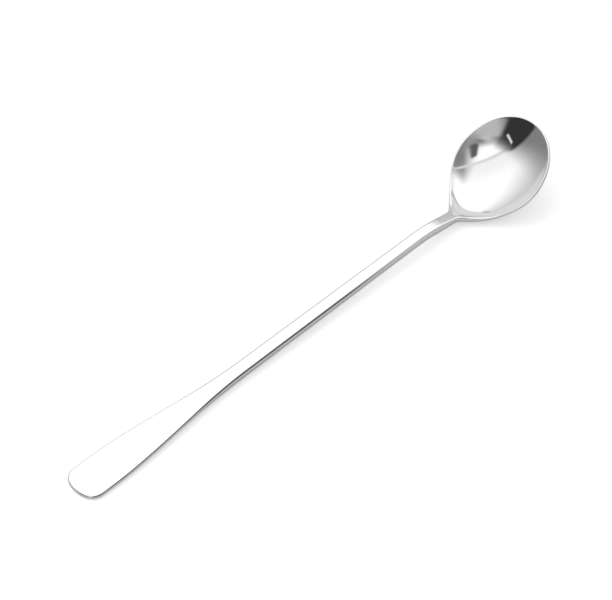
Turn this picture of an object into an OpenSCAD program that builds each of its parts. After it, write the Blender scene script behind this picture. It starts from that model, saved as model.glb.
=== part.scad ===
// Long-handled iced tea spoon in polished stainless steel.
// A pressed bowl with its neck is butt-welded to a flat handle, and the weld is dressed flush.
// Both pieces start as a flat blank (u along the spoon from the handle's end, v across,
// w up from the top face). The neck is then bent down and up again on two radii, and the
// finished spoon is tilted until it rests on its handle end and the belly of its bowl.
// Origin: middle of the bounding box, on the table. +X runs from the handle to the bowl.

/* [Handle] */
// Length of the handle from its round end to the weld
handle_length = 138; // [110:1:170]
// Width of the flat end
end_width = 13.6; // [8:0.1:16]
// Thickness of the flat end
end_thickness = 1.6; // [1.2:0.1:2.2]
// Length of the round at the tip of the flat end
end_round = 5.2; // [3:0.1:7]
// Distance from the tip to the start of the taper
end_length = 10; // [8:0.5:20]
// Length of the taper from the flat end to the stem
taper_length = 58; // [40:1:80]
// Width of the stem where the taper ends
stem_width = 5; // [3.6:0.05:6.5]
// Thickness of the stem
stem_thickness = 3; // [2:0.1:3.6]
// Length of the handle that stays thin
thin_length = 36; // [20:1:50]
// Length over which the handle thickens to the stem
thickening_run = 30; // [15:1:45]

/* [Neck] */
// Length of the neck from the weld to the place where it starts to widen
neck_length = 20.5; // [16:0.1:30]
// Width of the neck and of the stem at the weld
neck_width = 4.4; // [3.2:0.05:5.5]
// Straight run of the neck before it bends
neck_lead = 3.5; // [1:0.5:6]
// Length of the bend that takes the neck down
dip_run = 11.5; // [6:0.5:14]
// Angle by which the neck dips below the line of the handle, in degrees
dip_angle = 14; // [0:0.5:20]
// Straight run between the two bends
dip_straight = 8.5; // [2:0.1:12]
// Length of the bend that lifts the bowl
lift_run = 8; // [6:0.1:16]
// Angle of the rim above the line of the handle, in degrees
bowl_pitch = 29.4; // [5:0.1:35]

/* [Bowl] */
// Length of the shoulders, from the neck to the bowl's widest place
shoulder_length = 23; // [18:0.1:28]
// Length of the bowl from its widest place to its tip
tip_length = 18.2; // [15:0.1:22]
// Width across the rim
bowl_width = 32.4; // [24:0.1:36]
// Depth of the hollow below the rim
bowl_depth = 5.6; // [4:0.1:9]
// Thickness of the bowl's floor
bowl_wall = 1; // [0.7:0.05:1.6]
// Width of the flat land between the edge and the hollow, where the neck widens
neck_land = 0.9; // [0.4:0.05:1.2]
// Width of the flat land between the edge and the hollow, round the rim
rim_land = 0.1; // [0.05:0.05:0.6]
// Height of the rim's outer edge
lip_height = 0.9; // [0.5:0.05:1.2]

/* [Edges] */
// Radius on the upper edges of the handle, at most half the height of its sides
bar_edge = 1.05; // [0.3:0.05:1.5]
// Radius on the upper edge of the rim, at most half its height
rim_edge = 0.4; // [0.15:0.05:0.5]
// Swell of the handle's underside between its edges
belly = 0.25; // [0.1:0.05:0.6]

/* [Hidden] */

steel = "#d9dadc";

// Length over which the land narrows along the shoulders
land_run = 13;
// How far ahead of the shoulders the section starts to change, and over what length
shell_lead = 9.5;
shell_run = 20;

// How sharply the end is squared: 2 is an ellipse, more is squarer
end_squareness_share = 2.25;
// How full the taper starts
taper_fullness_share = 1.85;
// How the shoulders run: 0.5 is an ellipse, 1 a parabola, more is hollower next to the neck
shoulder_share = 1.12;
// How gently the hollow starts in the neck
hollow_start_share = 1.6;
// How flat the swell of the underside is
belly_flatness_share = 4;
// Largest radius on an upper edge, as shares of the side wall and of the half width
edge_limit_share = 0.5;
edge_reach_share = 0.75;
// Radius on a lower edge as a share of the upper one, and its limit in the side wall that is left
lower_edge_share = 1.4;
lower_limit_share = 0.9;
// Largest land, as a share of the half width inside the edge
land_limit_share = 0.85;

// Rings of the mesh: across the hollow and across the underside, axis to edge
hollow_shares = [0.2, 0.4, 0.58, 0.74, 0.87, 0.95, 1];
under_shares = [0.2, 0.4, 0.58, 0.74, 0.87, 0.95, 1];
// Rings that round the upper edge: turn from the top face to the side wall, in degrees
upper_turns = [0, 22.5, 45, 67.5, 90];
// Rings that round the lower edge: share of the turn from the side wall to the underside
lower_turn_shares = [0.67, 0.33, 0];

bar_steps = 36;
neck_steps = 44;
round_steps = 18;
end_steps = 9;

taper_end = end_length + taper_length;
shoulder_from = handle_length + neck_length;
half_bowl = bowl_width / 2;
bowl_mid = shoulder_from + shoulder_length;
dip_from = handle_length + neck_lead;
dip_to = dip_from + dip_run;
lift_from = dip_to + dip_straight;
lift_to = lift_from + lift_run;
shell_from = shoulder_from - shell_lead;
shell_depth = bowl_depth + bowl_wall - lip_height;
// Flattens the floor of the hollow, which then curves alike on both sides of the bowl's middle
floor_flatness_share =
    1 - hollow_start_share * pow((tip_length - rim_edge - rim_land) / shoulder_length, 2);
degrees_per_radian = 180 / PI;

function clamp(x) = min(max(x, 0), 1);
function ease(x) = let (t = clamp(x)) t * t * (3 - 2 * t);
function mix(a, b, t) = a + (b - a) * t;
function heading(angle) = [cos(angle), sin(angle)];

// Half width of the bar: parallel end, full taper, then a slow taper along the stem
function bar_half(u) =
    let (stem = mix(stem_width, neck_width, clamp((u - taper_end) / (handle_length - taper_end))))
    let (t = clamp((u - end_length) / taper_length))
    let (extra = (end_width - stem_width) * pow(1 - t, 2) * (1 + taper_fullness_share * t))
    (stem + extra) / 2;

// How far u lies from the bowl's widest place, as a share of the shoulders
function back(u) = clamp((bowl_mid - u) / shoulder_length);

// Half width of the blank: the bar, running into the shoulders of the bowl
function blank_half(u) =
    let (bar_part = ease(back(u)))
    let (shoulder = half_bowl * pow(1 - pow(back(u), 2), shoulder_share))
    sqrt(pow(bar_half(u), 2) * bar_part + pow(shoulder, 2));

// Heights of the section at u: side wall, swell below it, and how open the hollow is
function shell_part(u) = ease((u - shell_from) / shell_run);
function bar_thickness(u) =
    mix(end_thickness, stem_thickness, ease((u - thin_length) / thickening_run));
function side_height(u) = mix(bar_thickness(u) - belly, lip_height, shell_part(u));
function belly_height(u) = belly * (1 - shell_part(u));
function openness(u) = pow(1 - pow(back(u), 2), hollow_start_share);

// Radii of the upper and the lower edge, and the flat land inside the upper one
function edge(u, reach) =
    min(mix(bar_edge, rim_edge, shell_part(u)), edge_limit_share * side_height(u), edge_reach_share * reach);
function lower_edge(u, reach) =
    let (radius = edge(u, reach))
    min(lower_edge_share * radius, lower_limit_share * (side_height(u) - radius));
function land(u, reach) =
    let (wanted = mix(neck_land, rim_land, ease((u - shoulder_from) / land_run)))
    min(wanted, land_limit_share * (reach - edge(u, reach)));

// Depths at u, a share r of the way from the axis to the edge
function dish(u, r) = openness(u) * (1 - r * r) * (1 + floor_flatness_share * r * r);
function hollow_depth(u, r) = bowl_depth * dish(u, r);
function under_depth(u, r) =
    side_height(u)
    + belly_height(u) * (1 - pow(r, belly_flatness_share))
    + shell_depth * dish(u, r);

// Turn of the lower edge, from the upright side wall until it meets the slope of the underside
function shell_slope(u, reach) = 2 * (1 + floor_flatness_share) * shell_depth * openness(u) / reach;
function belly_slope(u, reach) = belly_flatness_share * belly_height(u) / reach;
function lower_turn(u, reach) = 90 - atan(shell_slope(u, reach) + belly_slope(u, reach));
function lower_share(u, turn, reach) = 1 - lower_edge(u, reach) * (1 - cos(turn)) / reach;

// The line that the top face follows: straight, dip, straight, lift, straight
function bend(run, from, to) =
    from == to
    ? run * heading(from)
    : run * degrees_per_radian / (to - from) * [sin(to) - sin(from), cos(from) - cos(to)];
function dip_part(u) = clamp((u - dip_from) / dip_run);
function lift_part(u) = clamp((u - lift_from) / lift_run);
function line_angle(u) = (dip_angle + bowl_pitch) * lift_part(u) - dip_angle * dip_part(u);
function line_point(u) =
    min(u, dip_from) * heading(0)
    + bend(dip_run * dip_part(u), 0, -dip_angle * dip_part(u))
    + dip_straight * clamp((u - dip_to) / dip_straight) * heading(-dip_angle)
    + bend(lift_run * lift_part(u), -dip_angle, line_angle(max(u, lift_from)))
    + max(u - lift_to, 0) * heading(bowl_pitch);

// A point of the flat blank carried onto the bent line
function formed(p) =
    let (at = line_point(p.x))
    let (angle = line_angle(p.x))
    [at.x - p.z * sin(angle), p.y, at.y + p.z * cos(angle)];

// Rulings from the axis to the edge, weld first: [place on the axis, [u, v] of the edge]
handle_rulings = concat(
    [for (i = [0:bar_steps])
        let (u = mix(handle_length, end_round, i / bar_steps))
        [u, [u, blank_half(u)]]],
    [for (i = [1:end_steps])
        let (t = 90 * (1 - i / end_steps))
        let (power = 2 / end_squareness_share)
        let (u = end_round * (1 - pow(cos(t), power)))
        [end_round, [u, blank_half(end_round) * pow(sin(t), power)]]]);
bowl_rulings = concat(
    [for (i = [0:neck_steps])
        let (u = mix(handle_length, bowl_mid, i / neck_steps))
        [u, [u, blank_half(u)]]],
    [for (i = [1:round_steps])
        let (t = 90 * i / round_steps)
        [bowl_mid, [bowl_mid + tip_length * sin(t), half_bowl * cos(t)]]]);

// Points of one piece on the blank. side is 1 where v is positive on the way out from the weld.
function ruling_point(ruling, side, share, w) =
    let (reach = ruling[1] - [ruling[0], 0])
    [ruling[0] + reach.x * share, side * reach.y * share, w];
function ruling_reach(ruling) = norm(ruling[1] - [ruling[0], 0]);
function round_trip(rulings, side) = concat(
    [for (r = rulings) [r, side]],
    [for (i = [len(rulings) - 2:-1:0]) [rulings[i], -side]]);
function piece_points(rulings, axis_count, side) =
    let (trip = round_trip(rulings, side))
    concat(
        [for (i = [0:axis_count - 1]) let (u = rulings[i][0]) [u, 0, -hollow_depth(u, 0)]],
        [for (h = hollow_shares) for (s = trip)
            let (u = s[0][0])
            let (reach = ruling_reach(s[0]))
            let (inside_land = 1 - (edge(u, reach) + land(u, reach)) / reach)
            ruling_point(s[0], s[1], h * inside_land, -hollow_depth(u, h))],
        [for (t = upper_turns) for (s = trip)
            let (reach = ruling_reach(s[0]))
            let (radius = edge(s[0][0], reach))
            ruling_point(s[0], s[1], 1 - radius * (1 - sin(t)) / reach, -radius * (1 - cos(t)))],
        [for (i = [0:axis_count - 1]) let (u = rulings[i][0]) [u, 0, -under_depth(u, 0)]],
        [for (r = under_shares) for (s = trip)
            let (u = s[0][0])
            let (reach = ruling_reach(s[0]))
            let (share = r * lower_share(u, lower_turn(u, reach), reach))
            ruling_point(s[0], s[1], share, -under_depth(u, share))],
        [for (t = lower_turn_shares) for (s = trip)
            let (u = s[0][0])
            let (reach = ruling_reach(s[0]))
            let (turn = lower_turn(u, reach))
            let (w = lower_edge(u, reach) * (tan(turn / 2) - sin(t * turn)) - side_height(u))
            ruling_point(s[0], s[1], lower_share(u, t * turn, reach), w)]);

// Faces of one piece: top rings, side wall, under rings and the flat weld face
function piece_faces(rulings, axis_count) =
    let (last = len(rulings) - 1)
    let (loop = 2 * last + 1)
    let (top_rings = len(hollow_shares) + len(upper_turns))
    let (under_rings = len(under_shares) + len(lower_turn_shares))
    let (under_from = axis_count + top_rings * loop)
    let (axis = function (from, k) from + min(k <= last ? k : 2 * last - k, axis_count - 1))
    let (ring = function (from, j, k) from + axis_count + j * loop + k)
    concat(
        [for (k = [0:loop - 2]) [axis(0, k), ring(0, 0, k), ring(0, 0, k + 1)]],
        [for (k = [0:loop - 2]) if (axis(0, k) != axis(0, k + 1))
            [axis(0, k), ring(0, 0, k + 1), axis(0, k + 1)]],
        [for (j = [0:top_rings - 2]) for (k = [0:loop - 2])
            each [[ring(0, j, k), ring(0, j + 1, k), ring(0, j + 1, k + 1)],
                [ring(0, j, k), ring(0, j + 1, k + 1), ring(0, j, k + 1)]]],
        [for (k = [0:loop - 2])
            let (t = top_rings - 1)
            let (b = under_rings - 1)
            each [[ring(0, t, k + 1), ring(0, t, k), ring(under_from, b, k)],
                [ring(0, t, k + 1), ring(under_from, b, k), ring(under_from, b, k + 1)]]],
        [for (k = [0:loop - 2])
            [axis(under_from, k), ring(under_from, 0, k + 1), ring(under_from, 0, k)]],
        [for (k = [0:loop - 2]) if (axis(0, k) != axis(0, k + 1))
            [axis(under_from, k), axis(under_from, k + 1), ring(under_from, 0, k + 1)]],
        [for (j = [0:under_rings - 2]) for (k = [0:loop - 2])
            each [[ring(under_from, j, k), ring(under_from, j + 1, k + 1), ring(under_from, j + 1, k)],
                [ring(under_from, j, k), ring(under_from, j, k + 1), ring(under_from, j + 1, k + 1)]]],
        [concat(
            [for (j = [top_rings - 1:-1:0]) ring(0, j, 0)],
            [axis(0, 0)],
            [for (j = [0:top_rings - 1]) ring(0, j, loop - 1)],
            [for (j = [under_rings - 1:-1:0]) ring(under_from, j, loop - 1)],
            [axis(under_from, 0)],
            [for (j = [0:under_rings - 1]) ring(under_from, j, 0)])]);

handle_formed = [for (p = piece_points(handle_rulings, bar_steps + 1, -1)) formed(p)];
bowl_formed = [for (p = piece_points(bowl_rulings, neck_steps + 1, 1)) formed(p)];

// Rest: the line below the handle's end and the bowl's belly that leaves both above it
heel_line = [for (r = handle_rulings) formed([r[0], 0, -under_depth(r[0], 0)])];
keel_line = [for (r = bowl_rulings) formed([r[0], 0, -under_depth(r[0], 0)])];
rest_tilt = min([for (h = heel_line) max([for (k = keel_line) atan2(h.z - k.z, k.x - h.x)])]);
function tilted(p) =
    [p.x * cos(rest_tilt) - p.z * sin(rest_tilt), p.y, p.x * sin(rest_tilt) + p.z * cos(rest_tilt)];
handle_tilted = [for (p = handle_formed) tilted(p)];
bowl_tilted = [for (p = bowl_formed) tilted(p)];
rear = min([for (p = handle_tilted) p.x]);
front = max([for (p = bowl_tilted) p.x]);
table = min(concat([for (p = handle_tilted) p.z], [for (p = bowl_tilted) p.z]));
origin = [(rear + front) / 2, 0, table];

module handle() {
    color(steel)
        polyhedron(
            points = [for (p = handle_tilted) p - origin],
            faces = piece_faces(handle_rulings, bar_steps + 1),
            convexity = 4);
}

module bowl() {
    color(steel)
        polyhedron(
            points = [for (p = bowl_tilted) p - origin],
            faces = piece_faces(bowl_rulings, neck_steps + 1),
            convexity = 6);
}

bowl();
handle();
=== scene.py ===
"""Looks of a long-handled iced tea spoon in polished steel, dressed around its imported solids.

The spoon is worked out as a flat blank, in millimetres: u runs from the handle's end to the tip
of the bowl, v across it, and w up from its top face. The blank is then bent along the neck,
tilted until it rests, and placed in the row frame in metres.
"""
import math

import bpy
import numpy as np
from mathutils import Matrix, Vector


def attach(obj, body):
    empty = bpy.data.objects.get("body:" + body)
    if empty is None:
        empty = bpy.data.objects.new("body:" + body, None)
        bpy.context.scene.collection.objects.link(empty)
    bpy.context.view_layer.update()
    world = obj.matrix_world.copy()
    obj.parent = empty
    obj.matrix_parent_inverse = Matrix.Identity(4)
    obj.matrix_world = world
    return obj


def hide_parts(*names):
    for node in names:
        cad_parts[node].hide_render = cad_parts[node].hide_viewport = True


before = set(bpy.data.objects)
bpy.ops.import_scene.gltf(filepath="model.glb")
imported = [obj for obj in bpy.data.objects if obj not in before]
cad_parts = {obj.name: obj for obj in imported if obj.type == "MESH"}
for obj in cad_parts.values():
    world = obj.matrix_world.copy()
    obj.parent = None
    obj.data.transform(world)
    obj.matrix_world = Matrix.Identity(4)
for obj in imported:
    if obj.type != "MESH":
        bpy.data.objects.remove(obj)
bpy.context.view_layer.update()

MM = 0.001

# Handle: lengths along the blank, widths across it
HANDLE_LENGTH = 138.0
END_WIDTH = 13.6
END_THICKNESS = 1.6
END_ROUND = 5.2
END_LENGTH = 10.0
TAPER_LENGTH = 58.0
STEM_WIDTH = 5.0
STEM_THICKNESS = 3.0
THIN_LENGTH = 36.0
THICKENING_RUN = 30.0

# Neck: two bends between straight runs, angles in degrees
NECK_LENGTH = 20.5
NECK_WIDTH = 4.4
NECK_LEAD = 3.5
DIP_RUN = 11.5
DIP_ANGLE = 14.0
DIP_STRAIGHT = 8.5
LIFT_RUN = 8.0
BOWL_PITCH = 29.4

# Bowl
SHOULDER_LENGTH = 23.0
TIP_LENGTH = 18.2
BOWL_WIDTH = 32.4
BOWL_DEPTH = 5.6
BOWL_WALL = 1.0
NECK_LAND = 0.9
RIM_LAND = 0.1
LIP_HEIGHT = 0.9
LAND_RUN = 13.0
SHELL_LEAD = 9.5
SHELL_RUN = 20.0

# Edges: radii of the upper edges, roundness of the hollow's edge, swell and crown
BAR_EDGE = 1.05
RIM_EDGE = 0.4
RIM_SOFTNESS = 0.15
BELLY = 0.25
CROWN = 0.05

# Shares that shape the curves
END_SQUARENESS_SHARE = 2.25
TAPER_FULLNESS_SHARE = 1.85
SHOULDER_SHARE = 1.12
HOLLOW_START_SHARE = 1.6
BELLY_FLATNESS_SHARE = 4.0
EDGE_LIMIT_SHARE = 0.5
LOWER_EDGE_SHARE = 1.4
LOWER_LIMIT_SHARE = 0.9
EDGE_CROWDING_SHARE = 1.6

# Steps of the grids: along each piece and round half a section
NECK_STEPS = 170
ROUND_STEPS = 100
BAR_STEPS = 200
END_STEPS = 40
TOP_STEPS = 72
EDGE_STEPS = 12
WALL_STEPS = 4
UNDER_STEPS = 44

# Smallest turn that counts as a bend, in radians, and the decimals to which points fall together
SMALLEST_TURN = 1e-9
MERGING_DECIMALS = 6

taper_end = END_LENGTH + TAPER_LENGTH
shoulder_from = HANDLE_LENGTH + NECK_LENGTH
half_bowl = BOWL_WIDTH / 2
bowl_mid = shoulder_from + SHOULDER_LENGTH
dip_from = HANDLE_LENGTH + NECK_LEAD
dip_to = dip_from + DIP_RUN
lift_from = dip_to + DIP_STRAIGHT
lift_to = lift_from + LIFT_RUN
shell_from = shoulder_from - SHELL_LEAD
shell_depth = BOWL_DEPTH + BOWL_WALL - LIP_HEIGHT
# Flattens the floor so that it curves alike on both sides of the bowl's middle
floor_flatness = 1 - HOLLOW_START_SHARE * ((TIP_LENGTH - RIM_EDGE - RIM_LAND) / SHOULDER_LENGTH) ** 2
dip = math.radians(DIP_ANGLE)
pitch = math.radians(BOWL_PITCH)


def ease(x):
    """Smooth step: 0 up to x = 0, 1 from x = 1, with a level start and end."""
    t = np.clip(x, 0, 1)
    return t * t * (3 - 2 * t)


def mix(a, b, t):
    """The value a share t of the way from a to b."""
    return a + (b - a) * t


def bar_half(u):
    """Half width of the bar: parallel end, full taper, then a slow taper along the stem."""
    stem = mix(STEM_WIDTH, NECK_WIDTH, np.clip((u - taper_end) / (HANDLE_LENGTH - taper_end), 0, 1))
    t = np.clip((u - END_LENGTH) / TAPER_LENGTH, 0, 1)
    extra = (END_WIDTH - STEM_WIDTH) * (1 - t) ** 2 * (1 + TAPER_FULLNESS_SHARE * t)
    return (stem + extra) / 2


def back(u):
    """How far u lies from the bowl's widest place towards the neck, as a share of the shoulders."""
    return np.clip((bowl_mid - u) / SHOULDER_LENGTH, 0, 1)


def blank_half(u):
    """Half width of the blank: the bar's square and the shoulders' square, added under a root.

    The shoulders are a parabola in the distance from the bowl's widest place, raised to a power.
    """
    shoulder = half_bowl * (1 - back(u) ** 2) ** SHOULDER_SHARE
    return np.sqrt(bar_half(u) ** 2 * ease(back(u)) + shoulder**2)


def shell_part(u):
    """0 on the bar and 1 on the bowl's shell."""
    return ease((u - shell_from) / SHELL_RUN)


def side_height(u):
    """Height of the side wall: the bar's thickness less its swell, running into the lip's height."""
    thickness = mix(END_THICKNESS, STEM_THICKNESS, ease((u - THIN_LENGTH) / THICKENING_RUN))
    return mix(thickness - BELLY, LIP_HEIGHT, shell_part(u))


def edge_radius(u):
    """Radius of the upper edge: the bar's running into the rim's, limited by the wall's height."""
    return np.minimum(mix(BAR_EDGE, RIM_EDGE, shell_part(u)), EDGE_LIMIT_SHARE * side_height(u))


def lower_radius(u):
    """Radius of the lower edge: a share of the upper one, limited by the wall that this leaves."""
    radius = edge_radius(u)
    return np.minimum(LOWER_EDGE_SHARE * radius, LOWER_LIMIT_SHARE * (side_height(u) - radius))


def land(u):
    """Flat land between the upper edge and the hollow, narrowing along the shoulders."""
    return mix(NECK_LAND, RIM_LAND, ease((u - shoulder_from) / LAND_RUN))


def belly_height(u):
    """Swell of the underside between its edges, fading out on the shell."""
    return BELLY * (1 - shell_part(u))


def openness(u):
    """How open the hollow is: 1 from the bowl's middle on, falling to 0 in the neck."""
    return (1 - back(u) ** 2) ** HOLLOW_START_SHARE


def dish(u, r):
    """Depth at u as a share of the whole, a share r of the way from the axis to the edge.

    The hollow's openness times a parabola in r whose floor is flattened.
    """
    return openness(u) * (1 - r * r) * (1 + floor_flatness * r * r)


def under_depth(u, r):
    """Depth of the underside at u, a share r of the way from the axis to the edge."""
    swell = belly_height(u) * (1 - r**BELLY_FLATNESS_SHARE)
    return side_height(u) + swell + shell_depth * dish(u, r)


def arc(run, start, end):
    """Run along an arc of that length whose heading turns from start to end, in radians."""
    turn = np.where(np.abs(end - start) < SMALLEST_TURN, SMALLEST_TURN, end - start)
    return run / turn * (np.sin(end) - np.sin(start)), run / turn * (np.cos(start) - np.cos(end))


def centre_line(u):
    """Place and heading of the top face's middle: straight, dip, straight, lift, straight."""
    dip_part = np.clip((u - dip_from) / DIP_RUN, 0, 1)
    lift_part = np.clip((u - lift_from) / LIFT_RUN, 0, 1)
    level = np.zeros_like(u)
    dip_x, dip_z = arc(DIP_RUN * dip_part, level, -dip * dip_part)
    lift_x, lift_z = arc(LIFT_RUN * lift_part, level - dip, (dip + pitch) * lift_part - dip)
    straight = np.clip(u - dip_to, 0, DIP_STRAIGHT)
    far = np.maximum(u - lift_to, 0)
    x = np.minimum(u, dip_from) + dip_x + straight * math.cos(dip) + lift_x + far * math.cos(pitch)
    z = dip_z - straight * math.sin(dip) + lift_z + far * math.sin(pitch)
    return x, z, (dip + pitch) * lift_part - dip * dip_part


def formed(u, v, w):
    """A point of the flat blank carried onto the bent line, w along the line's normal."""
    x, z, heading = centre_line(u)
    return np.stack([x - w * np.sin(heading), v, z + w * np.cos(heading)], -1)


def tilted(points, angle):
    """Points turned up about the Y axis by that angle."""
    x, y, z = np.moveaxis(points, -1, 0)
    return np.stack([
        x * math.cos(angle) - z * math.sin(angle),
        y,
        x * math.sin(angle) + z * math.cos(angle),
    ], -1)


def rest_angle():
    """The tilt at which one line touches the handle's underside and the bowl's belly from below."""
    heel_u = np.linspace(END_ROUND, HANDLE_LENGTH, BAR_STEPS)
    keel_u = np.linspace(HANDLE_LENGTH, bowl_mid, NECK_STEPS)
    heel = formed(heel_u, 0 * heel_u, -under_depth(heel_u, 0 * heel_u))[:, None]
    keel = formed(keel_u, 0 * keel_u, -under_depth(keel_u, 0 * keel_u))[None]
    angles = np.arctan2(heel[..., 2] - keel[..., 2], keel[..., 0] - heel[..., 0])
    return angles.max(1).min()


rest_tilt = rest_angle()


def handle_rulings():
    """Rulings of the handle, weld first: place on the axis, then u and v of the edge.

    They cross the bar square, then fan about one point of the axis round a squared ellipse.
    """
    bar_u = np.linspace(HANDLE_LENGTH, END_ROUND, BAR_STEPS + 1)
    t = np.linspace(math.pi / 2, 0, END_STEPS + 1)[1:]
    power = 2 / END_SQUARENESS_SHARE
    end_u = END_ROUND * (1 - np.cos(t) ** power)
    end_v = bar_half(np.full_like(t, END_ROUND)) * np.sin(t) ** power
    return (
        np.append(bar_u, np.full_like(t, END_ROUND)),
        np.append(bar_u, end_u),
        np.append(blank_half(bar_u), end_v),
    )


def bowl_rulings():
    """Rulings of the bowl, weld first: square across neck and bowl, then a fan round the ellipse."""
    neck_u = np.linspace(HANDLE_LENGTH, bowl_mid, NECK_STEPS + 1)
    t = np.linspace(0, math.pi / 2, ROUND_STEPS + 1)[1:]
    return (
        np.append(neck_u, np.full_like(t, bowl_mid)),
        np.append(neck_u, bowl_mid + TIP_LENGTH * np.sin(t)),
        np.append(blank_half(neck_u), half_bowl * np.cos(t)),
    )


def half_section(station, reach):
    """Half a section over each ruling, from the axis on top round the edge to the axis below.

    Top: the hollow's dish, met by the flat lip in a soft minimum, less a slight crown. Edge: a
    quarter circle, a straight wall, and an arc that turns until it meets the underside's slope.
    Returns the share of the reach and the height w, each as rulings by steps.
    """
    u = station[:, None]
    length = reach[:, None]
    opening = openness(u)
    radius = edge_radius(u)
    low_radius = lower_radius(u)
    crowd = np.linspace(1, 0, TOP_STEPS) ** EDGE_CROWDING_SHARE
    top = (length - radius) * (1 - crowd)
    hollow = -BOWL_DEPTH * dish(u, top / (length - radius - land(u)))
    soft = RIM_SOFTNESS * opening
    top_w = (hollow - np.sqrt(hollow**2 + soft**2)) / 2
    top_w = top_w - CROWN * (1 - shell_part(u)) * (top / length) ** 2

    turn = np.linspace(0, math.pi / 2, EDGE_STEPS + 1)[1:]
    edge = length - radius * (1 - np.sin(turn))
    edge_w = top_w[:, -1:] - radius * (1 - np.cos(turn))

    shell_slope = 2 * (1 + floor_flatness) * shell_depth * opening
    slope = (BELLY_FLATNESS_SHARE * belly_height(u) + shell_slope) / length
    lower_turn = math.pi / 2 - np.arctan(slope)
    arc_w = low_radius * np.tan(lower_turn / 2) - side_height(u)
    wall_w = mix(edge_w[:, -1:], arc_w, np.linspace(0, 1, WALL_STEPS + 1)[1:])
    wall = length + 0 * wall_w
    around = lower_turn * np.linspace(0, 1, EDGE_STEPS + 1)[1:]
    low = length - low_radius * (1 - np.cos(around))
    low_w = arc_w - low_radius * np.sin(around)

    under = low[:, -1:] * (1 - np.linspace(0, 1, UNDER_STEPS + 1)[1:] ** EDGE_CROWDING_SHARE)
    under_w = -under_depth(u, under / length)
    share = np.concatenate([top, edge, wall, low, under], 1) / length
    return share, np.concatenate([top_w, edge_w, wall_w, low_w, under_w], 1)


def skin(rulings):
    """Points and faces of one closed piece: half sections over the rulings, mirrored across the axis.

    Each ruling gives one ring; rings join into quads. The ring at the weld is closed by a fan, and
    points that fall together along the axis, at the fan's hub and at the tip are made one.
    """
    axis_u, edge_u, edge_v = rulings
    reach = np.hypot(edge_u - axis_u, edge_v)
    share, w = half_section(axis_u, reach)
    u = axis_u[:, None] + (edge_u - axis_u)[:, None] * share
    v = edge_v[:, None] * share
    inner = slice(-2, 0, -1)
    ring_u = np.concatenate([u, u[:, inner]], 1)
    ring_v = np.concatenate([v, -v[:, inner]], 1)
    ring_w = np.concatenate([w, w[:, inner]], 1)
    rows, columns = ring_u.shape
    points = tilted(formed(ring_u, ring_v, ring_w), rest_tilt).reshape(-1, 3)
    hub = points[:columns].mean(0)
    points = np.vstack([points, hub])

    index = np.arange(rows * columns).reshape(rows, columns)
    after = np.roll(index, -1, 1)
    quads = np.stack([index[:-1], after[:-1], after[1:], index[1:]], -1).reshape(-1, 4)
    cap = np.stack([after[0], index[0], np.full(columns, rows * columns)], -1)
    points, merged = np.unique(np.round(points, MERGING_DECIMALS) + 0.0, axis=0, return_inverse=True)
    return points, merged.ravel()[quads], merged.ravel()[cap]


def without_repeats(quads):
    """The quads with four corners, and three corners of those where two neighbours are one point."""
    same = quads == np.roll(quads, -1, 1)
    whole = quads[~same.any(1)]
    folded = quads[same.sum(1) == 1]
    first = np.argmax(folded == np.roll(folded, -1, 1), 1)
    corners = (first[:, None] + np.arange(1, 4)) % 4
    return whole, np.take_along_axis(folded, corners, 1)


def outward(points, triangles):
    """True if the triangles enclose a positive volume, by the sum of their signed cones."""
    a, b, c = np.moveaxis(points[triangles], 1, 0)
    return np.einsum("ij,ij->", a, np.cross(b, c)) > 0


def piece(name, rulings, offset):
    """A smooth mesh object of one piece, in metres, sharp only round its weld face."""
    points, quads, cap = skin(rulings)
    whole, folded = without_repeats(quads)
    triangles = np.vstack([folded, cap])
    everything = np.vstack([whole[:, :3], whole[:, [0, 2, 3]], triangles])
    if not outward(points, everything):
        whole = whole[:, ::-1]
        triangles = triangles[:, ::-1]
    mesh = bpy.data.meshes.new(name)
    mesh.from_pydata((points - offset) * MM, [], whole.tolist() + triangles.tolist())
    mesh.polygons.foreach_set("use_smooth", np.ones(len(mesh.polygons), bool))
    ends = np.empty(len(mesh.edges) * 2, np.int32)
    mesh.edges.foreach_get("vertices", ends)
    rim = np.isin(ends.reshape(-1, 2), np.unique(cap[:, :2])).all(1)
    sharp = mesh.attributes.new("sharp_edge", "BOOLEAN", "EDGE")
    sharp.data.foreach_set("value", rim)
    made = bpy.data.objects.new(name, mesh)
    bpy.context.scene.collection.objects.link(made)
    return made


def row_offset():
    """The point of the bent blank that becomes the row's origin: mid-length, on the table."""
    points = np.vstack([skin(handle_rulings())[0], skin(bowl_rulings())[0]])
    low, high = points.min(0), points.max(0)
    return np.array([(low[0] + high[0]) / 2, 0, low[2]])


offset = row_offset()
handle = piece("handle_polished", handle_rulings(), offset)
bowl = piece("bowl_polished", bowl_rulings(), offset)


# Steel: mean shade and roughness, and how far smudges and hairlines change them
STEEL_SHADE = 0.88
STEEL_BLUE = 1.005
STEEL_ROUGHNESS = 0.045
SMUDGE_CONTRAST = 0.03
SMUDGE_ROUGHNESS = 0.03
HAIRLINE_CONTRAST = 0.03
HAIRLINE_STRENGTH = 0.05
HAIRLINE_DEPTH = 0.02 * MM

# Noise: its mean, and the stretch, scale and detail of the two patterns
NOISE_MEAN = 0.5
HAIRLINE_STRETCH = (20, 600, 600)
HAIRLINE_SCALE = 3.0
HAIRLINE_DETAIL = 4.0
SMUDGE_STRETCH = (1, 1, 1)
SMUDGE_SCALE = 60.0
SMUDGE_DETAIL = 3.0

# Numbers of outputs: of a Texture Coordinate node, and the value of a Vector Math node
GENERATED = 0
OBJECT = 3
DOT_VALUE = 1


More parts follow.
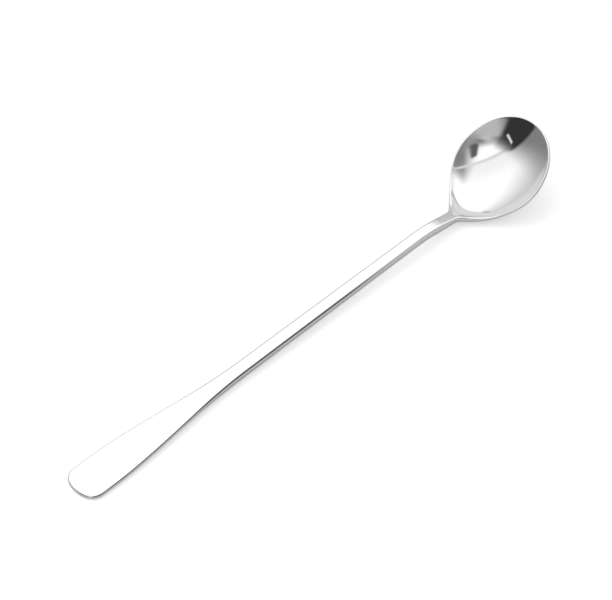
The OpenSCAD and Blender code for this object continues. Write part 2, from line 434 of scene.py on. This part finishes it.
class Value:
    """A socket of a node tree that takes part in sums; each sum adds a Math node."""

    def __init__(self, tree, socket):
        self.tree = tree
        self.socket = socket

    def math(self, operation, *values, **settings):
        inputs = dict(enumerate(values))
        return node(self.tree, "ShaderNodeMath", {"operation": operation, **settings}, inputs)[0]

    def __add__(self, other):
        return self.math("ADD", self, other)

    def __sub__(self, other):
        return self.math("SUBTRACT", self, other)

    def __rsub__(self, other):
        return self.math("SUBTRACT", other, self)

    def __mul__(self, other):
        return self.math("MULTIPLY", self, other)

    def __truediv__(self, other):
        return self.math("DIVIDE", self, other)

    __radd__ = __add__
    __rmul__ = __mul__


def node(tree, kind, settings, inputs):
    """A new node: its settings first, then its inputs by name or number. Gives its outputs."""
    made = tree.nodes.new(kind)
    for name, value in settings.items():
        setattr(made, name, value)
    for key, value in inputs.items():
        if isinstance(value, Value):
            tree.links.new(value.socket, made.inputs[key])
        else:
            made.inputs[key].default_value = value
    return [Value(tree, socket) for socket in made.outputs]


def soft_step(value, centre, width):
    """0 well below the centre and 1 well above it, eased over the width."""
    ends = {"Value": value, "From Min": centre - width / 2, "From Max": centre + width / 2}
    return node(value.tree, "ShaderNodeMapRange", {"interpolation_type": "SMOOTHSTEP"}, ends)[0]


def dot(vector, axis):
    """The part of a vector along an axis."""
    inputs = {0: vector, 1: axis}
    return node(vector.tree, "ShaderNodeVectorMath", {"operation": "DOT_PRODUCT"}, inputs)[DOT_VALUE]


def ray(tree, output):
    """One output of a new Light Path node, which tells what kind of ray is asking."""
    return Value(tree, tree.nodes.new("ShaderNodeLightPath").outputs[output])


def left_floor(tree):
    """1 for rays that have left the floor and 0 for others."""
    floor_bounces = ray(tree, "Diffuse Depth")
    return floor_bounces.math("MINIMUM", floor_bounces, 1.0)


def heading(azimuth, elevation):
    """The unit vector that points that way, from angles in radians."""
    return Vector((
        math.cos(elevation) * math.cos(azimuth),
        math.cos(elevation) * math.sin(azimuth),
        math.sin(elevation),
    ))


def stretched_noise(coordinates, stretch, scale, detail):
    """Noise round its mean, drawn out along the axes where the stretch is small."""
    tree = coordinates.tree
    vector = node(tree, "ShaderNodeVectorMath", {"operation": "MULTIPLY"}, {0: coordinates, 1: stretch})[0]
    return node(tree, "ShaderNodeTexNoise", {}, {"Vector": vector, "Scale": scale, "Detail": detail})[0]


def polished_steel():
    """Mirror-polished stainless steel: fine hairlines along the spoon and faint smudges."""
    material = bpy.data.materials.new("polished_steel")
    material.use_nodes = True
    tree = material.node_tree
    shader = tree.nodes["Principled BSDF"]
    place = node(tree, "ShaderNodeTexCoord", {}, {})[OBJECT]
    hairlines = stretched_noise(place, HAIRLINE_STRETCH, HAIRLINE_SCALE, HAIRLINE_DETAIL)
    smudges = stretched_noise(place, SMUDGE_STRETCH, SMUDGE_SCALE, SMUDGE_DETAIL)
    smudge = smudges - NOISE_MEAN
    shade = STEEL_SHADE + smudge * SMUDGE_CONTRAST + (hairlines - NOISE_MEAN) * HAIRLINE_CONTRAST
    roughness = STEEL_ROUGHNESS + smudge * SMUDGE_ROUGHNESS
    colour = node(tree, "ShaderNodeCombineColor", {}, {0: shade, 1: shade, 2: shade * STEEL_BLUE})[0]
    bump = node(tree, "ShaderNodeBump", {}, {
        "Strength": HAIRLINE_STRENGTH,
        "Distance": HAIRLINE_DEPTH,
        "Height": hairlines,
    })[0]
    tree.links.new(colour.socket, shader.inputs["Base Color"])
    tree.links.new(roughness.socket, shader.inputs["Roughness"])
    tree.links.new(bump.socket, shader.inputs["Normal"])
    shader.inputs["Metallic"].default_value = 1.0
    return material


steel = polished_steel()
for made, stands_for in ((handle, "handle"), (bowl, "bowl")):
    made.data.materials.append(steel)
    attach(made, "root")
    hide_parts(stands_for)

# Camera: fitted to the spoon's outline in the picture, which is 612 pixels wide
PICTURE_WIDTH = 612
FOCAL_PIXELS = 3239.886
SENSOR_WIDTH = 36.0
CAMERA_TARGET = Vector((1.507, 5.052, 5.0)) * MM
CAMERA_DISTANCE = 1000 * MM
CAMERA_AZIMUTH = math.radians(-133.826)
CAMERA_ELEVATION = math.radians(47.821)

camera_data = bpy.data.cameras.new("camera")
camera_data.sensor_width = SENSOR_WIDTH
camera_data.lens = FOCAL_PIXELS / PICTURE_WIDTH * SENSOR_WIDTH
camera = bpy.data.objects.new("camera", camera_data)
towards_camera = heading(CAMERA_AZIMUTH, CAMERA_ELEVATION)
camera.location = CAMERA_TARGET + towards_camera * CAMERA_DISTANCE
camera.rotation_euler = towards_camera.to_track_quat("Z", "Y").to_euler()
scene = bpy.context.scene
scene.collection.objects.link(camera)
scene.camera = camera
scene.view_settings.view_transform = "Standard"

# Studio that the steel mirrors: a white tent with grey and dark cards round the spoon. The fill
# lights the floor. Two shares say what is left of the tent's light by way of the floor and when
# the steel mirrors it again.
STUDIO_WHITE = 1.17
STUDIO_FILL = 0.72
THROWN_SHARE = 0.1
SECOND_SHARE = 0.75

# Between the first and second bounce, and the width of the step there
SECOND_BOUNCE = 1.5
BOUNCE_WIDTH = 0.5

# Cosines from a card's middle at which the card runs out, and over which it does
CARD_SPREAD = 0.25
CARD_FADE = 0.4

# Each card: azimuth and elevation that it faces, its brightness, and its edges. An edge has the
# angle of its outward normal, its distance from the card's middle and its softness. Distances
# are tangents of the angle from the middle, so straight edges look straight.
NEAR_SIDE = (300, 0)
RIM_SIDE = (345, 15)
NECK_SIDE = (40, 0)
FAR_SIDE = (60, 15)
LEFT_SIDE = (130, 10)
BOWL_SIDE = (200, 25)

NEAR_GREY = (NEAR_SIDE, 0.45, ((60, 1.5, 0.8), (180, 0.9, 0.5)))
RIM_DARK = (RIM_SIDE, 0.05, ((180, 0.2, 0.2), (0, 0.4, 0.3), (90, 0.3, 0.3)))
NECK_GREY = (NECK_SIDE, 0.4, ((70, 0.5, 0.35), (0, 0.45, 0.15)))
FAR_STRIP = (FAR_SIDE, 0.03, ((180, 0.05, 0.05), (0, 0.1, 0.05), (90, 0.2, 0.1)))
VEIL = (BOWL_SIDE, 0.85, ((135, 1.3, 1.6), (315, -0.55, 0.1)))
HAZE = (LEFT_SIDE, 0.55, ((70, 0.2, 1.2),))
SHADE = (LEFT_SIDE, 0.2, ((125, 0.15, 0.6),))
FLANK = (BOWL_SIDE, 0.2, ((175, -0.4, 0.7), (150, 0.9, 3.0), (90, 3.0, 2.0)))
PANEL = (BOWL_SIDE, 0.45, ((105, 0.15, 0.1), (205, 0.15, 0.4)))
SEAM = (BOWL_SIDE, 0.65, ((135, 0.6, 0.1), (315, -0.5, 0.1)))
BAND = (BOWL_SIDE, 0.07, ((-90, -0.25, 0.2), (115, 0.25, 0.25), (-20, 0.35, 0.55), (175, 0.4, 0.15)))
BLOCK_SIDES = ((185, -0.35, 0.1), (10, 0.65, 0.2), (30, 0.9, 0.1))
BLOCK_ENDS = ((140, 0.25, 0.1), (245, -0.5, 0.1), (300, -0.15, 0.1))
BLOCK = (BOWL_SIDE, 0.1, BLOCK_SIDES + BLOCK_ENDS)
DARK = (BOWL_SIDE, 0.03, ((-15, -0.15, 0.15), (65, 0.15, 0.55), (100, 0.45, 0.15), (135, 0.7, 0.15)))
STROKE = (BOWL_SIDE, 0.7, ((-40, -0.25, 0.05), (160, 0.55, 0.05), (60, -0.1, 0.05), (240, 0.15, 0.05)))

# Laid over one another in this order
CARDS = (
    NEAR_GREY, RIM_DARK, NECK_GREY, FAR_STRIP,
    VEIL, HAZE, SHADE, FLANK, PANEL, SEAM, BAND, BLOCK, DARK, STROKE,
)


def card_mask(direction, facing, edges):
    """1 where a direction meets the card and 0 beside it: the product of its edges' soft steps."""
    azimuth, elevation = map(math.radians, facing)
    towards = heading(azimuth, elevation)
    across = Vector((-math.sin(azimuth), math.cos(azimuth), 0))
    depth = dot(direction, towards)
    reach = depth.math("MAXIMUM", depth, CARD_SPREAD / 2)
    x = dot(direction, across) / reach
    y = dot(direction, towards.cross(across)) / reach
    mask = soft_step(depth, CARD_SPREAD, CARD_FADE)
    for angle, distance, softness in edges:
        outward_part = x * math.cos(math.radians(angle)) + y * math.sin(math.radians(angle))
        mask = mask * soft_step(distance - outward_part, 0, softness)
    return mask


def studio():
    """World: plain white for the camera, the cards for mirror rays and an even fill for the floor.

    Mirror rays that have left the floor count little, so that the steel throws no bright spots on
    it, and rays that the steel mirrors more than once count for less.
    """
    world = bpy.data.worlds.new("studio")
    world.use_nodes = True
    tree = world.node_tree
    direction = node(tree, "ShaderNodeTexCoord", {}, {})[GENERATED]
    seen = ray(tree, "Is Camera Ray")
    mirrored = ray(tree, "Is Glossy Ray")
    again = soft_step(ray(tree, "Glossy Depth"), SECOND_BOUNCE, BOUNCE_WIDTH)
    thrown = 1 - left_floor(tree) * (1 - THROWN_SHARE)
    repeated = 1 - again * (1 - SECOND_SHARE)
    bright = 1.0
    for facing, brightness, edges in CARDS:
        bright = bright + (brightness - bright) * card_mask(direction, facing, edges)
    tent = bright * STUDIO_WHITE * thrown * repeated
    strength = seen + mirrored * tent + (1 - seen - mirrored) * STUDIO_FILL
    tree.links.new(strength.socket, tree.nodes["Background"].inputs["Strength"])
    tree.nodes["Background"].inputs["Color"].default_value = (1, 1, 1, 1)
    return world


scene.world = studio()

# Lamp: a soft panel high behind the spoon, out of its mirror
LAMP_SIZE = 1.2
LAMP_POWER = 4.0
LAMP_PLACE = Vector((-0.1, 0.6, 0.6))

lamp_data = bpy.data.lights.new("panel", "AREA")
lamp_data.size = LAMP_SIZE
lamp_data.energy = LAMP_POWER
lamp = bpy.data.objects.new("panel", lamp_data)
lamp.location = LAMP_PLACE
lamp.rotation_euler = LAMP_PLACE.to_track_quat("Z", "Y").to_euler()
lamp.visible_glossy = False
scene.collection.objects.link(lamp)

# Floor: white paper. Its shade and glow differ for the camera, which sees it white but for the
# shadows, and for mirror rays, in which the shadows stay dark.
FLOOR_SIZE = 0.28
SEEN_SHADE = 0.75
SEEN_GLOW = 0.5
MIRRORED_SHADE = 0.65
BOUNCED_SHADE = 0.3

# Near card: its place across, its span along and its heights, where its black runs out and over
# what length, and how brightly it glows before and beyond that
NEAR_PLACE = -17 * MM
NEAR_SPAN = (-112 * MM, 47 * MM)
NEAR_HEIGHTS = (2.5 * MM, 24 * MM)
NEAR_END = 31 * MM
NEAR_SOFTNESS = 30 * MM
NEAR_SHADE = 0.09
NEAR_BEYOND = 0.5


def white_paper():
    """Floor's material: a diffuse shade and a glow, each set by the kind of ray that meets it."""
    material = bpy.data.materials.new("white_paper")
    material.use_nodes = True
    tree = material.node_tree
    shader = tree.nodes["Principled BSDF"]
    seen = ray(tree, "Is Camera Ray")
    shade = (
        MIRRORED_SHADE
        + seen * (SEEN_SHADE - MIRRORED_SHADE)
        + left_floor(tree) * (BOUNCED_SHADE - MIRRORED_SHADE)
    )
    glow = seen * SEEN_GLOW
    tree.links.new(shade.socket, shader.inputs["Base Color"])
    tree.links.new(glow.socket, shader.inputs["Emission Color"])
    shader.inputs["Emission Strength"].default_value = 1.0
    shader.inputs["Roughness"].default_value = 1.0
    shader.inputs["Specular IOR Level"].default_value = 0.0
    return material


def near_black():
    """Near card's material: nearly black along the handle, running into grey towards the neck."""
    material = bpy.data.materials.new("near_black")
    material.use_nodes = True
    tree = material.node_tree
    tree.nodes.remove(tree.nodes["Principled BSDF"])
    place = node(tree, "ShaderNodeTexCoord", {}, {})[OBJECT]
    ending = soft_step(dot(place, (1, 0, 0)), NEAR_END, NEAR_SOFTNESS)
    strength = NEAR_SHADE + ending * (NEAR_BEYOND - NEAR_SHADE)
    glow = node(tree, "ShaderNodeEmission", {}, {"Strength": strength})[0]
    tree.links.new(glow.socket, tree.nodes["Material Output"].inputs["Surface"])
    return material


def sheet(name, material, corners):
    """A flat object of one face with four corners."""
    mesh = bpy.data.meshes.new(name)
    mesh.materials.append(material)
    mesh.from_pydata(corners, [], [(0, 1, 2, 3)])
    made = bpy.data.objects.new(name, mesh)
    scene.collection.objects.link(made)
    return made


near_left, near_right = NEAR_SPAN
near_low, near_high = NEAR_HEIGHTS
# Stands along the handle's near side, for the steel alone to mirror
card = sheet("near_card", near_black(), [
    (near_left, NEAR_PLACE, near_low),
    (near_right, NEAR_PLACE, near_low),
    (near_right, NEAR_PLACE, near_high),
    (near_left, NEAR_PLACE, near_high),
])
card.visible_camera = False
card.visible_diffuse = False
card.visible_shadow = False

half_floor = FLOOR_SIZE / 2
floor = sheet("floor", white_paper(), [
    (-half_floor, -half_floor, 0),
    (half_floor, -half_floor, 0),
    (half_floor, half_floor, 0),
    (-half_floor, half_floor, 0),
])
